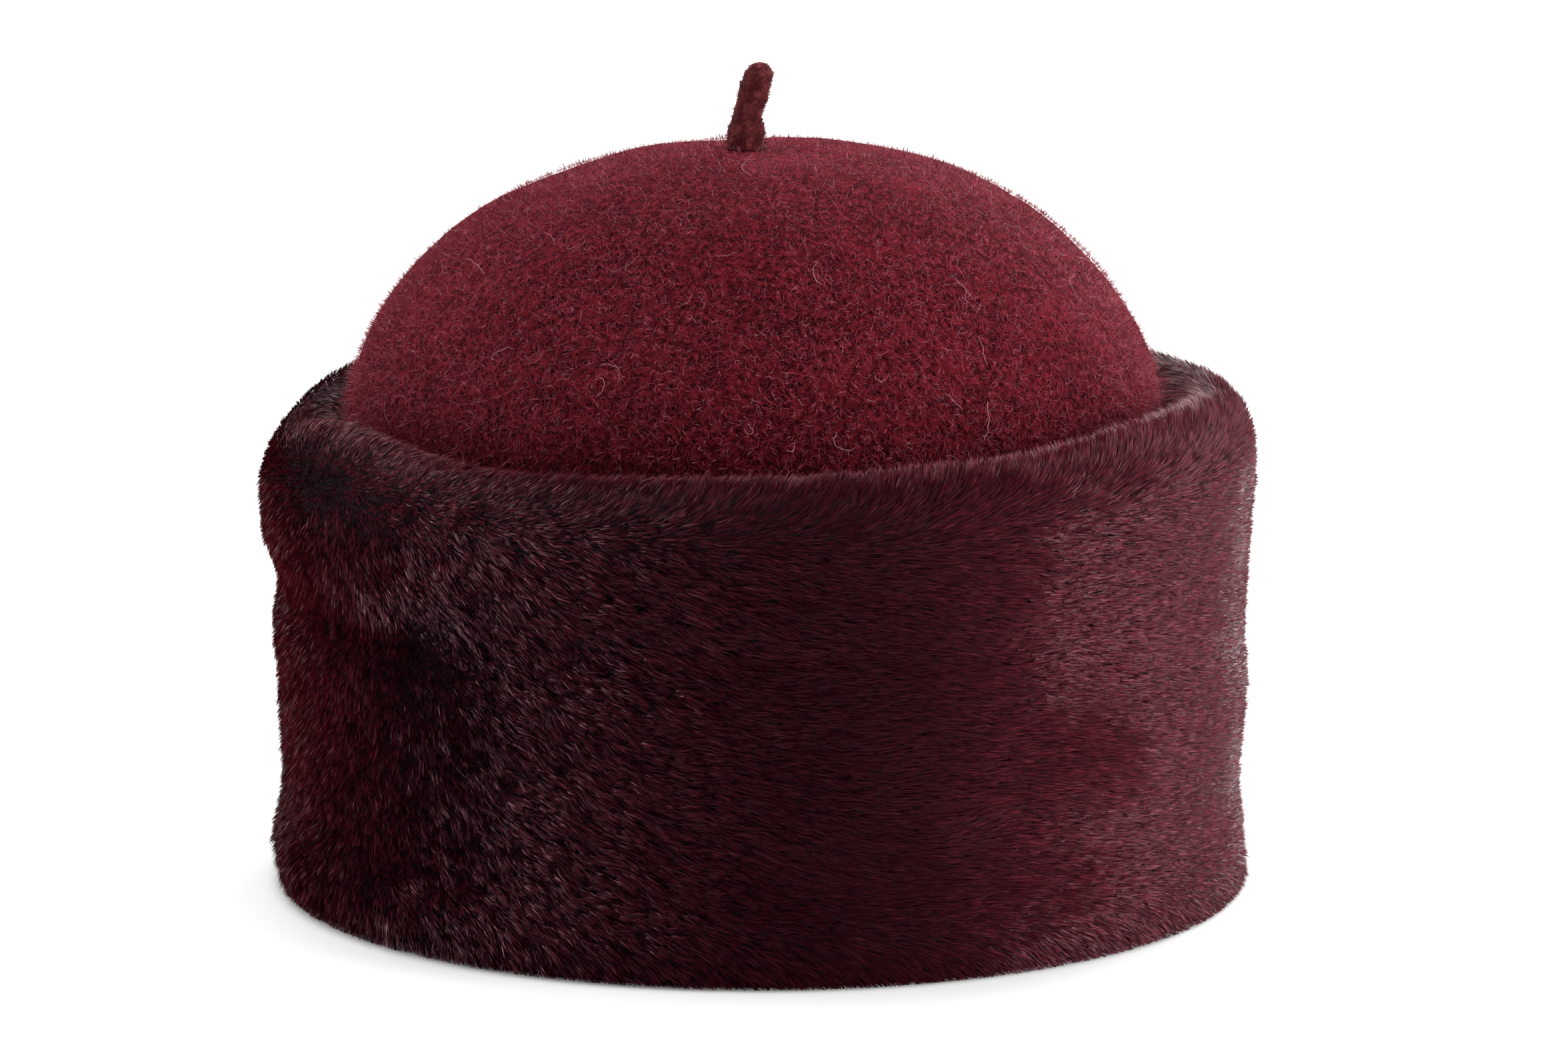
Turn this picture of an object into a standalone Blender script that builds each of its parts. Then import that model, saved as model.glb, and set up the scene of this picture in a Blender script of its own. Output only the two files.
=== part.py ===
"""Round felted-wool hat with a beret stalk on its domed crown and a deep fur cuff.

The hat stands on the hem of its cuff. Z is up, the front faces -Y, +X is to the right as the
front is looked at, and the origin is the middle of the head opening at the level of the hem.
"""

import math
import random
from collections import namedtuple

import bmesh
import bpy
from mathutils import Vector

# Driving dimensions, in metres
HEAD_CIRCUMFERENCE = 0.578
FELT_THICKNESS = 0.0025
CROWN_TOP = 0.1796
CROWN_WIDEST_HEIGHT = 0.1139
STALK_DIAMETER = 0.0076
SEAT_GAP = 0.0003

# The felt crown: its skirt stands upright inside the cuff, then flares out towards the dome
SKIRT_RADIUS = HEAD_CIRCUMFERENCE / (2 * math.pi) + FELT_THICKNESS
SKIRT_HEM = 0.004
FLARE_START = 0.084
SKIRT_RINGS = 3
FLARE_RINGS = 4
DOME_ANGLES = (0, 12, 24, 36, 47, 57, 66, 74, 81, 86)
CROWN_SEGMENTS = 56

# Each side of the dome is a superellipse: how far out it goes, and how square its shoulder is
DomeSide = namedtuple("DomeSide", "widest round_in round_up")
DOME_LEFT = DomeSide(widest=0.0996, round_in=0.880, round_up=1.080)
DOME_RIGHT = DomeSide(widest=0.0980, round_in=0.750, round_up=1.195)

# The stalk's centre line leans to the right as it rises, with widths in stalk diameters
StalkRow = namedtuple("StalkRow", "rise sideways width")
STALK_ROWS = (
    StalkRow(rise=0.0000, sideways=-0.0028, width=1.24),
    StalkRow(rise=0.0022, sideways=-0.0027, width=1.18),
    StalkRow(rise=0.0065, sideways=-0.0023, width=0.96),
    StalkRow(rise=0.0105, sideways=-0.0014, width=0.98),
    StalkRow(rise=0.0150, sideways=0.0001, width=1.04),
    StalkRow(rise=0.0185, sideways=0.0007, width=1.02),
    StalkRow(rise=0.0203, sideways=0.0009, width=0.74),
    StalkRow(rise=0.0209, sideways=0.0010, width=0.22),
)

# How far the tips of the pile reach from the axis, up the left and the right of the cuff
PileRow = namedtuple("PileRow", "height left right")
PILE_ROWS = (
    PileRow(height=0.000, left=0.1178, right=0.1205),
    PileRow(height=0.011, left=0.1190, right=0.1195),
    PileRow(height=0.025, left=0.1166, right=0.1184),
    PileRow(height=0.050, left=0.1174, right=0.1200),
    PileRow(height=0.064, left=0.1186, right=0.1194),
    PileRow(height=0.076, left=0.1172, right=0.1198),
    PileRow(height=0.090, left=0.1212, right=0.1206),
    PileRow(height=0.100, left=0.1220, right=0.1216),
    PileRow(height=0.110, left=0.1215, right=0.1220),
)
# The rolled rim is broader and droops lower on the left
RimSide = namedtuple("RimSide", "widest_height width")
RIM_LEFT = RimSide(widest_height=0.0970, width=0.0270)
RIM_RIGHT = RimSide(widest_height=0.1055, width=0.0230)
# Its crest rises and falls round the hat
RimRow = namedtuple("RimRow", "azimuth crest")
RIM_ROWS = (
    RimRow(azimuth=0, crest=0.1222),
    RimRow(azimuth=25, crest=0.1212),
    RimRow(azimuth=90, crest=0.1205),
    RimRow(azimuth=152, crest=0.1208),
    RimRow(azimuth=182, crest=0.1160),
    RimRow(azimuth=208, crest=0.1218),
    RimRow(azimuth=235, crest=0.1184),
    RimRow(azimuth=270, crest=0.1200),
    RimRow(azimuth=300, crest=0.1213),
    RimRow(azimuth=328, crest=0.1240),
    RimRow(azimuth=360, crest=0.1222),
)
ROLL_END_ANGLE = 138
LINING_TOP = 0.100
FOOT_EDGE = 0.0016
FOOT_INSET = 0.0015

# Locks of pile, in staggered rows up the wall and over the roll
LOCKS_AROUND = 48
WALL_LOCK_ROWS = 14
ROLL_LOCK_ROWS = 6
PADDING_DEPTH = 0.0022
LOCK_HEIGHT = 0.0032
LOCK_LEAN_FORWARD = 0.0058
LOCK_LEAN_UP = 0.0030
TIP_VARIATION = 0.35
BASE_JITTER = 0.0006

# Which way the locks lie on the wall: degrees above the run round the cuff
NapRow = namedtuple("NapRow", "azimuth angle")
NAP_ROWS = (
    NapRow(azimuth=0, angle=-4),
    NapRow(azimuth=90, angle=-20),
    NapRow(azimuth=150, angle=-60),
    NapRow(azimuth=180, angle=-88),
    NapRow(azimuth=215, angle=-62),
    NapRow(azimuth=245, angle=-28),
    NapRow(azimuth=270, angle=-6),
    NapRow(azimuth=360, angle=-4),
)
# On the crest of the roll the locks turn inwards over it
NAP_CREST_ANGLE = 60

WOOL_COLOUR = (0.125, 0.008, 0.016, 1.0)
STALK_COLOUR = (0.085, 0.010, 0.014, 1.0)
FUR_COLOUR = (0.040, 0.006, 0.010, 1.0)


def clear_scene():
    for thing in list(bpy.data.objects):
        bpy.data.objects.remove(thing, do_unlink=True)


def matte_material(name, colour, roughness):
    material = bpy.data.materials.new(name)
    material.use_nodes = True
    shader = material.node_tree.nodes["Principled BSDF"]
    shader.inputs["Base Color"].default_value = colour
    shader.inputs["Roughness"].default_value = roughness
    shader.inputs["Metallic"].default_value = 0.0
    material.diffuse_color = colour
    return material


def object_from(name, bm, material):
    """Turns a finished bmesh into a smooth-shaded object of the scene."""
    bmesh.ops.recalc_face_normals(bm, faces=bm.faces)
    mesh = bpy.data.meshes.new(name)
    bm.to_mesh(mesh)
    bm.free()
    mesh.shade_smooth()
    mesh.materials.append(material)
    thing = bpy.data.objects.new(name, mesh)
    bpy.context.scene.collection.objects.link(thing)
    return thing


def mix(a, b, share):
    return a + (b - a) * share


def ease(share):
    """Rises from 0 to 1 with no corner at either end."""
    share = min(max(share, 0.0), 1.0)
    return share * share * (3 - 2 * share)


def right_share(azimuth):
    """1 on the right of the hat, 0 on the left, and half at the front and back."""
    return (1 + math.cos(azimuth)) / 2


def read_table(rows, column, value, result):
    """Reads a result from a table, eased between the two rows around the value."""
    for low, high in zip(rows, rows[1:]):
        if value <= getattr(high, column):
            span = getattr(high, column) - getattr(low, column)
            share = ease((value - getattr(low, column)) / span)
            return mix(getattr(low, result), getattr(high, result), share)
    return getattr(rows[-1], result)


def around(azimuth, radius, height):
    return Vector((radius * math.cos(azimuth), radius * math.sin(azimuth), height))


def full_turn(count):
    return [2 * math.pi * i / count for i in range(count)]


def dome_point(azimuth, angle):
    """A point of the felt's outer face from its widest ring upwards: radius and height."""
    rise = CROWN_TOP - CROWN_WIDEST_HEIGHT
    radii = []
    heights = []
    for side in (DOME_LEFT, DOME_RIGHT):
        radii.append(side.widest * math.cos(angle) ** side.round_in)
        heights.append(CROWN_WIDEST_HEIGHT + rise * math.sin(angle) ** side.round_up)
    share = right_share(azimuth)
    return mix(*radii, share), mix(*heights, share)


def skirt_radius(azimuth, height):
    """The felt's outer face below its widest ring."""
    widest, _ = dome_point(azimuth, 0.0)
    share = ease((height - FLARE_START) / (CROWN_WIDEST_HEIGHT - FLARE_START))
    return mix(SKIRT_RADIUS, widest, share)


def skirt_heights():
    """Ring heights of the skirt, which the cuff's inner face shares, so that both bend alike."""
    upright = [mix(SKIRT_HEM, FLARE_START, i / SKIRT_RINGS) for i in range(SKIRT_RINGS)]
    flare = [mix(FLARE_START, CROWN_WIDEST_HEIGHT, i / FLARE_RINGS) for i in range(FLARE_RINGS)]
    return upright + flare


def make_crown(material):
    """The wool dome and the skirt that runs down inside the cuff: one felt wall, open below."""
    bm = bmesh.new()
    azimuths = full_turn(CROWN_SEGMENTS)
    rings = []
    for height in skirt_heights():
        rings.append([bm.verts.new(around(a, skirt_radius(a, height), height)) for a in azimuths])
    for angle in map(math.radians, DOME_ANGLES):
        rings.append([bm.verts.new(around(a, *dome_point(a, angle))) for a in azimuths])
    top = bm.verts.new((0.0, 0.0, CROWN_TOP))
    for i in range(CROWN_SEGMENTS):
        after = (i + 1) % CROWN_SEGMENTS
        for lower, upper in zip(rings, rings[1:]):
            bm.faces.new((lower[i], lower[after], upper[after], upper[i]))
        bm.faces.new((rings[-1][i], rings[-1][after], top))
    crown = object_from("crown", bm, material)
    wall = crown.modifiers.new("felt wall", "SOLIDIFY")
    wall.thickness = FELT_THICKNESS
    wall.offset = -1.0
    wall.use_even_offset = True


def make_stalk(material):
    """The felted stalk: a soft peg with a flared foot and a round tip, seated on the crown."""
    curve = bpy.data.curves.new("stalk", "CURVE")
    curve.dimensions = "3D"
    curve.bevel_depth = STALK_DIAMETER / 2
    curve.bevel_resolution = 4
    curve.resolution_u = 3
    curve.use_fill_caps = True
    spline = curve.splines.new("NURBS")
    spline.points.add(len(STALK_ROWS) - 1)
    for point, row in zip(spline.points, STALK_ROWS):
        point.co = (row.sideways, 0.0, CROWN_TOP + SEAT_GAP + row.rise, 1.0)
        point.radius = row.width
    spline.order_u = 4
    spline.use_endpoint_u = True
    curve.materials.append(material)
    stalk = bpy.data.objects.new("stalk", curve)
    bpy.context.scene.collection.objects.link(stalk)


def pile_reach(azimuth, height):
    """How far the pile's tips reach from the axis."""
    left = read_table(PILE_ROWS, "height", height, "left")
    right = read_table(PILE_ROWS, "height", height, "right")
    return mix(left, right, right_share(azimuth))


def furred_section(azimuth):
    """The cuff's padding under the locks, from the foot up the wall and over the roll."""
    share = right_share(azimuth)
    widest_height = mix(RIM_LEFT.widest_height, RIM_RIGHT.widest_height, share)
    points = []
    for i in range(WALL_LOCK_ROWS):
        height = mix(FOOT_EDGE, widest_height, i / WALL_LOCK_ROWS)
        points.append((pile_reach(azimuth, height) - PADDING_DEPTH, height))
    half_width = mix(RIM_LEFT.width, RIM_RIGHT.width, share) / 2
    roll_middle = pile_reach(azimuth, widest_height) - half_width
    crest = read_table(RIM_ROWS, "azimuth", math.degrees(azimuth), "crest")
    roll_rise = crest - PADDING_DEPTH - widest_height
    for i in range(ROLL_LOCK_ROWS + 1):
        angle = math.radians(ROLL_END_ANGLE) * i / ROLL_LOCK_ROWS
        radius = roll_middle + (half_width - PADDING_DEPTH) * math.cos(angle)
        points.append((radius, widest_height + roll_rise * math.sin(angle)))
    return points


def inner_section(azimuth):
    """The cuff's inner face, which hugs the felt from under the roll down to the hem."""
    heights = [height for height in skirt_heights() if height <= LINING_TOP]
    face = [(skirt_radius(azimuth, height) + SEAT_GAP, height) for height in reversed(heights)]
    return face + [(SKIRT_RADIUS + SEAT_GAP, 0.0)]


def lean_of_lock(peak):
    """How far the tip of a lock lies over from its middle, along the surface."""
    azimuth = math.atan2(peak.co.y, peak.co.x) % (2 * math.pi)
    wall_angle = read_table(NAP_ROWS, "azimuth", math.degrees(azimuth), "angle")
    crest_share = ease((peak.co.z - RIM_LEFT.widest_height) / RIM_LEFT.width)
    angle = math.radians(mix(wall_angle, NAP_CREST_ANGLE, crest_share))
    forward = Vector((-math.sin(azimuth), math.cos(azimuth), 0.0))
    upward = peak.normal.cross(forward)
    return forward * math.cos(angle) * LOCK_LEAN_FORWARD + upward * math.sin(angle) * LOCK_LEAN_UP


def raise_lock(peak, chance):
    """Draws the middle of a lock out into its leaning tip, clear of the floor and the felt."""
    height = LOCK_HEIGHT * (1 - chance.uniform(0.0, TIP_VARIATION))
    tip = peak.co + peak.normal * height + lean_of_lock(peak)
    azimuth = math.atan2(tip.y, tip.x)
    nearest = skirt_radius(azimuth, min(tip.z, CROWN_WIDEST_HEIGHT)) + 2 * SEAT_GAP
    radius = max(math.hypot(tip.x, tip.y), nearest)
    peak.co = around(azimuth, radius, max(tip.z, FOOT_EDGE))


def make_fur_cuff(material):
    """The fur cuff: a padded ring with staggered locks fused to it as leaning peaks."""
    bm = bmesh.new()
    chance = random.Random(7)
    columns = 2 * LOCKS_AROUND
    lock_rows = WALL_LOCK_ROWS + ROLL_LOCK_ROWS
    grid = []
    for azimuth in full_turn(columns):
        furred = furred_section(azimuth)
        ring = [bm.verts.new(around(azimuth, *point)) for point in furred]
        for vertex in ring[1:-1]:
            vertex.co += Vector([chance.uniform(-BASE_JITTER, BASE_JITTER) for _ in "xyz"])
        plain = inner_section(azimuth) + [(furred[0][0] - FOOT_INSET, 0.0)]
        grid.append(ring + [bm.verts.new(around(azimuth, *point)) for point in plain])

    locks = []
    for row in range(lock_rows):
        for column in range(row % 2, columns + row % 2, 2):
            a, b, c = (grid[(column + step) % columns] for step in range(3))
            corners = (a[row], b[row], c[row], c[row + 1], b[row + 1], a[row + 1])
            locks.append(bm.faces.new(corners))
    points_up = len(grid[0])
    for column in range(columns):
        here = grid[column]
        after = grid[(column + 1) % columns]
        for row in range(lock_rows, points_up):
            above = (row + 1) % points_up
            bm.faces.new((here[row], after[row], after[above], here[above]))

    bmesh.ops.recalc_face_normals(bm, faces=bm.faces)
    peaks = bmesh.ops.poke(bm, faces=locks)["verts"]
    bm.normal_update()
    for peak in peaks:
        raise_lock(peak, chance)
    object_from("fur_cuff", bm, material)


def build_hat():
    clear_scene()
    make_crown(matte_material("felted wool", WOOL_COLOUR, 0.95))
    make_stalk(matte_material("tight felted wool", STALK_COLOUR, 0.95))
    make_fur_cuff(matte_material("dense pile fur", FUR_COLOUR, 0.6))


build_hat()
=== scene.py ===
"""The looks of a round felted-wool hat with a deep fur cuff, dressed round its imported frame.

Z is up, the front faces -Y, and the hat stands on its hem at the origin. Lengths are in metres and
azimuths run from +X by way of the back, so that 270 degrees is the front.
"""

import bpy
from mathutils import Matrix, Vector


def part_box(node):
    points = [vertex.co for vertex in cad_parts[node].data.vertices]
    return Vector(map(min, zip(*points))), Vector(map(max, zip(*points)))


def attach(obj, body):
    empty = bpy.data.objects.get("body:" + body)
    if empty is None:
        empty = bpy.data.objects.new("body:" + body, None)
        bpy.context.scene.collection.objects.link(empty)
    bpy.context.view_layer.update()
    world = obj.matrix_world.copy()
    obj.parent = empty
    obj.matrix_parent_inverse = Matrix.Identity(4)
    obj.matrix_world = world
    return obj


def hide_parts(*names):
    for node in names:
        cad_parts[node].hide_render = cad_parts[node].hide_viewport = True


bl_info = {
    "name": "Fur-cuffed wool hat",
    "version": (1, 0, 0),
    "blender": (4, 5, 0),
    "location": "3D View > Sidebar > Hat",
    "description": "Felts a round crown, tops it with a stalk and wraps it in a deep fur cuff",
    "category": "Mesh",
}

import math
from collections import namedtuple

import bpy
import numpy as np
from mathutils import Vector


def table(columns, *rows):
    """The rows of a table whose columns are named."""
    kind = namedtuple("Row", columns)
    return [kind(*row) for row in rows]


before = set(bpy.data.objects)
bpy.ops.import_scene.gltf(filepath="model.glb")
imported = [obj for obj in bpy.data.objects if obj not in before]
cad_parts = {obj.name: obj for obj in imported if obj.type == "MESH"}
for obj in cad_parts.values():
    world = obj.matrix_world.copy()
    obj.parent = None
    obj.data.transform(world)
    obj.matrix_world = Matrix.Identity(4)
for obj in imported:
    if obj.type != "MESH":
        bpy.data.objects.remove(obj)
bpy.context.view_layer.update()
BODY = "root"

# The crown's sizes, as its solid has them
CROWN_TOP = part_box("crown")[1].z
CROWN_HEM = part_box("crown")[0].z
HEAD_CIRCUMFERENCE = 0.578
FELT_THICKNESS = 0.0025
SKIRT_RADIUS = HEAD_CIRCUMFERENCE / (2 * math.pi) + FELT_THICKNESS
CROWN_WIDEST_HEIGHT = 0.1139
FLARE_START = 0.084
DOME_LEFT, DOME_RIGHT = table(
    "widest round_in round_up", (0.0996, 0.880, 1.080), (0.0980, 0.750, 1.195))

# The felt's soft unevenness grows in over this height, where the cuff leaves room for it
UNEVEN_FROM = 0.108
UNEVEN_OVER = 0.012

# The fibres on the crown: the setting that counts them, the seed of their draws, the points along
# one, their ranges of length and lift in metres and of turn in radians, how thick they are against
# the set width, and their range of shade
FIBRE_KINDS = table(
    "name setting seed steps length lift turn thick shades",
    ("crown_fibres", "fibres", 21, 4, (0.0018, 0.0042), (0.0, 0.0006), (-3.5, 3.5), 1.1, (0.0, 0.7)),
    ("crown_fuzz", "fuzz", 22, 2, (0.0008, 0.0022), (0.0003, 0.0030), (-1.0, 1.0), 0.9, (0.20, 0.85)),
    ("crown_strays", "strays", 23, 11, (0.004, 0.012), (0.0004, 0.005), (-5.0, 5.0), 1.0, (0.8, 1.0)),
)

# A hair's breadth is left between pieces that touch
SEAT_GAP = 0.0003

# The stalk leans to the right as it rises, and is pinched above its foot
STALK_ROWS = table(
    "rise sideways width",
    (-0.0002, -0.0030, 0.0106), (0.0010, -0.0030, 0.0093), (0.0030, -0.0028, 0.0092),
    (0.0050, -0.0026, 0.0086), (0.0069, -0.0026, 0.0071), (0.0090, -0.0021, 0.0072),
    (0.0122, -0.0011, 0.0074), (0.0150, -0.0005, 0.0075), (0.0178, 0.0003, 0.0070),
    (0.0195, 0.0005, 0.0050), (0.0203, 0.0006, 0.0030), (0.0207, 0.0006, 0.0002),
)

# How far the tips of the pile reach from the axis, up the left and the right of the cuff
PILE_ROWS = table(
    "height left right",
    (0.000, 0.1178, 0.1205), (0.011, 0.1190, 0.1195), (0.025, 0.1166, 0.1184),
    (0.050, 0.1174, 0.1200), (0.064, 0.1186, 0.1194), (0.076, 0.1172, 0.1198),
    (0.090, 0.1212, 0.1206), (0.100, 0.1220, 0.1216), (0.110, 0.1215, 0.1220),
)

# The rim: the height and width of its roll on the left and the right, and its crest round the hat. It
# is rolled in to its end angle, and the face behind it starts at the lining's top
RIM_LEFT, RIM_RIGHT = table("widest_height width", (0.0970, 0.0270), (0.1055, 0.0230))
RIM_ROWS = table(
    "azimuth crest",
    (0, 0.1222), (25, 0.1212), (90, 0.1205), (152, 0.1208),
    (182, 0.1160), (208, 0.1218), (235, 0.1184), (270, 0.1200),
    (300, 0.1213), (328, 0.1240), (360, 0.1222),
)
ROLL_END_ANGLE = math.radians(138)
LINING_TOP = 0.100

# The cuff's mean radius, and the pile's way up the wall and round the roll
CUFF_RADIUS = 0.118
WALL_LENGTH = 0.100
ROLL_LENGTH = 0.034

# The backing that the pile grows from lies this deep under its tips, and lifts clear of the floor.
# Its foot is drawn in behind the hairs of the hem
BACKING_DEPTH = 0.0030
BACKING_FOOT = 0.0005
FOOT_DRAWN_IN = 0.0015

# How the pile lies, round the cuff: its angle above the run round the hat, on the wall and over the
# crest, how far the roots and the tips of the strands stand up from the backing, all in degrees, and
# how loose it is, from 0 for combed to 1
NAP_ROWS = table(
    "azimuth angle crest_angle root_lift tip_lift loose",
    (0, -5, 68, 54, 26, 0.3), (90, -12, 66, 52, 14, 0.1),
    (150, -26, 58, 54, 17, 0.2), (180, -38, 50, 56, 30, 0.3),
    (205, -42, 45, 54, 38, 0.3), (219, -36, 44, 54, 36, 0.4),
    (230, -31, 43, 54, 28, 0.8), (243, -25, 42, 52, 13, 1.0),
    (257, -20, 48, 52, 11, 0.9), (266, -11, 54, 52, 15, 0.5),
    (277, -5, 59, 52, 18, 0.15), (287, -4, 62, 52, 18, 0.0),
    (301, -5, 66, 50, 9, 0.0), (330, -7, 69, 50, 12, 0.0),
    (344, -6, 68, 50, 14, 0.0), (360, -5, 68, 54, 26, 0.3),
)

# The pile turns up over the crest between these places up the fur, and down within the hem's share of
# the wall. On the crest the tips stand up by a few degrees, and more on the right
CREST_TURN_FROM = 0.97
CREST_TURN_TO = 1.52
CREST_LIFT = 14.0
CREST_RAISED = 16.0
CREST_RAGGED = 14.0
HEM_ANGLE = -48
HEM_TURN = 0.15

# How much the smooth noises stir the nap, in degrees on combed and on loose pile
ANGLE_STIRS = table(
    "length seed combed loose", (0.016, 11, 3.0, 9.0), (0.05, 12, 4.0, 4.0), (0.006, 13, 2.0, 6.0))
LIFT_STIRS = table("length seed combed loose", (0.009, 14, 2.5, 6.0), (0.028, 17, 3.0, 2.0))

# How much strands differ on combed and on loose pile: in the angle and the lift of a tuft and of a
# hair in radians, in a tuft's length, in how far a hair is drawn in to its tuft, in how a blade is
# rolled, and in the power that makes the pale hairs few
TUFT_ANGLE = (0.04, 0.09)
HAIR_ANGLE = (0.045, 0.12)
TUFT_LIFT = (0.03, 0.08)
HAIR_LIFT = (0.05, 0.15)
ROOT_LIFT = 0.10
TUFT_LENGTH = (0.06, 0.13)
GATHER = (0.15, 0.4)
BLADE_ROLL = (0.35, 0.8)
PALE_POWER = (2.8, 3.6)

# A guard hair bends at this share of its length, a hair of the underfur stops short of the tip, and
# a tuft is longer round the hat than up it
ELBOW = 0.38
UNDERFUR_REACH = 0.85
TUFT_STRETCH = 1.6

# Hollows where the pile parts, each an ellipse of these half widths round the hat and up it. Their
# strands are shorter and darkened, a painted shade
HOLLOW_ROWS = table(
    "azimuth height wide tall",
    (256, 0.104, 0.0050, 0.0016), (260, 0.088, 0.0030, 0.0018), (257, 0.092, 0.0025, 0.0014),
    (249, 0.080, 0.0070, 0.0045), (238, 0.088, 0.0055, 0.0060), (228, 0.078, 0.0080, 0.0090),
    (296, 0.086, 0.0040, 0.0007),
)

# Patches where the pile lies another way, of these half widths: degrees that it is turned up from the
# nap round it, degrees that its tips stand up more, and how much paler its strands are. The paler
# column is painted light and shade: paler strands paint the glow on the far left, the sheen's onset on
# the right and glints high on the left, and darker strands paint shade low on the left and mid front
PATCH_ROWS = table(
    "azimuth height wide tall turn lift paler",
    (313, 0.050, 0.019, 0.013, -5, 15, 0.0), (309, 0.079, 0.014, 0.016, 0, -7, 0.2),
    (292, 0.084, 0.014, 0.020, -3, 4, 0.0), (294, 0.036, 0.009, 0.005, 14, -16, 0.0),
    (312, 0.018, 0.020, 0.010, -6, 8, 0.0), (200, 0.068, 0.034, 0.056, 0, 3, 0.95),
    (231, 0.058, 0.021, 0.028, 0, 12, -0.5), (280, 0.050, 0.034, 0.070, 0, 3, -0.7),
    (225, 0.112, 0.032, 0.012, 0, 0, 0.35), (226, 0.090, 0.024, 0.012, 0, -11, 0.2),
)

# Combed pile shines softly, and loose pile glints. A hair is as rough as its shade says, from the
# dark ones to the light ones
PILE_FINISHES = table(
    "name roundness level dark_rough light_rough",
    ("combed", 0.9, 0.4, 0.36, 0.27),
    ("loose", 0.8, 0.55, 0.42, 0.13),
)

# The pile is made in sectors, in degrees from the right of the hat round by the back. They overlap by
# a few degrees, so that no edge shows between them
SECTOR_ROWS = table(
    "name start end guard_hairs underfur finish",
    ("right_back", 0, 60, 30000, 34000, "combed"),
    ("back", 60, 120, 30000, 34000, "combed"),
    ("left_back", 120, 180, 30000, 34000, "combed"),
    ("left_front", 180, 222, 32000, 43000, "loose"),
    ("front_left", 222, 262, 33000, 44000, "loose"),
    ("front_right", 262, 310, 38000, 50000, "combed"),
    ("right_front", 310, 360, 38000, 50000, "combed"),
)
SECTOR_OVERLAP = 3.0

# The photograph's camera: a long lens at the height of a table-top shot
PHOTO_WIDTH = 2352
SENSOR_WIDTH = 36.0
FOCAL_PIXELS = 11912
CAMERA_PLACE = (0.0064, -1.9, 0.4635)
CAMERA_PITCH = math.radians(90 - 11.2)

# Softboxes: where each stands, its side in metres and its power in watts
LIGHT_ROWS = table(
    "name place side power",
    ("softbox right", (1.37, -0.50, 0.42), 0.6, 13),
    ("softbox above", (0.00, 0.10, 1.60), 0.9, 18),
    ("softbox back right", (0.70, 1.22, 0.61), 0.9, 21),
    ("softbox back left", (-0.55, 1.24, 0.78), 0.9, 4),
    ("softbox left", (-1.42, 0.24, 0.50), 0.9, 10),
)
LIGHT_AIM = Vector((0.0, 0.0, 0.10))
FLOOR_RADIUS = 6.0
FLOOR_DROP = 0.0002
FLOOR_GAP = 0.0001

# How far from the middle the floor's glow starts, is full, and starts and ends its rise to white. No
# glow at the hem paints a contact shadow round the hat's foot
FLOOR_RINGS = (0.113, 0.121, 0.16, 0.40)

# The map that colours a strand: its shade across, root to tip upwards
STRAND_MAP = "OFBake"
SHADES = 64
HAIRS_ACROSS = 2


def linear(colour):
    """An sRGB hex colour such as #6b1a28 as linear red, green and blue."""
    parts = [int(colour[i:i + 2], 16) / 255 for i in (1, 3, 5)]
    return tuple(c / 12.92 if c <= 0.04045 else ((c + 0.055) / 1.055) ** 2.4 for c in parts)


def mix(a, b, share):
    """a where the share is 0, b where it is 1: a plus the share of the way to b."""
    return a + (b - a) * share


def ease(share):
    """Rises from 0 to 1 with no corner at either end: 3 t squared less 2 t cubed."""
    share = np.clip(share, 0.0, 1.0)
    return share * share * (3 - 2 * share)


def right_share(azimuth):
    """1 on the right of the hat, 0 on the left: (1 + cos azimuth) / 2."""
    return (1 + np.cos(azimuth)) / 2


def read_table(rows, column, at, result):
    """Results read from a table, eased between the two rows around each value."""
    places = np.array([getattr(row, column) for row in rows], float)
    results = np.array([getattr(row, result) for row in rows], float)
    low = np.clip(np.searchsorted(places, at, side="right") - 1, 0, len(rows) - 2)
    return mix(results[low], results[low + 1], ease((at - places[low]) / np.diff(places)[low]))


def around(azimuth, radius, height):
    """Points at an azimuth, a distance from the axis and a height."""
    azimuth, radius, height = np.broadcast_arrays(azimuth, radius, height)
    return np.stack([radius * np.cos(azimuth), radius * np.sin(azimuth), height], -1)


def unit(vectors):
    """Vectors of length 1: each divided by its length."""
    return vectors / np.maximum(np.linalg.norm(vectors, axis=-1, keepdims=True), 1e-12)


def ripple(points, length, seed, waves=18):
    """Smooth noise of about -1 to 1: sine waves of about one length in seeded random directions."""
    chance = np.random.default_rng(seed)
    ways = unit(chance.normal(size=(waves, 3))) * (2 * math.pi / length)
    ways *= chance.uniform(0.7, 1.4, (waves, 1))
    phases = chance.uniform(0, 2 * math.pi, waves)
    total = np.zeros(points.shape[:-1])
    for way, phase in zip(ways, phases):
        total += np.sin(points @ way + phase)
    return total * math.sqrt(2 / waves) / 1.6


def dome_side(side, angle):
    """A superellipse: radius = widest cos^a and height = widest height + rise sin^b."""
    radius = side.widest * np.cos(angle) ** side.round_in
    rise = (CROWN_TOP - CROWN_WIDEST_HEIGHT) * np.sin(angle) ** side.round_up
    return radius, CROWN_WIDEST_HEIGHT + rise


def dome_point(azimuth, angle):
    """The felt's outer face above its widest ring, mixed from its left and right sides."""
    left, right = dome_side(DOME_LEFT, angle), dome_side(DOME_RIGHT, angle)
    share = right_share(azimuth)
    return mix(left[0], right[0], share), mix(left[1], right[1], share)


def skirt_radius(azimuth, height):
    """The felt's outer face below its widest ring: a cylinder that flares out, eased."""
    widest = mix(DOME_LEFT.widest, DOME_RIGHT.widest, right_share(azimuth))
    flare = ease((height - FLARE_START) / (CROWN_WIDEST_HEIGHT - FLARE_START))
    return mix(SKIRT_RADIUS, widest, flare)


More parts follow.
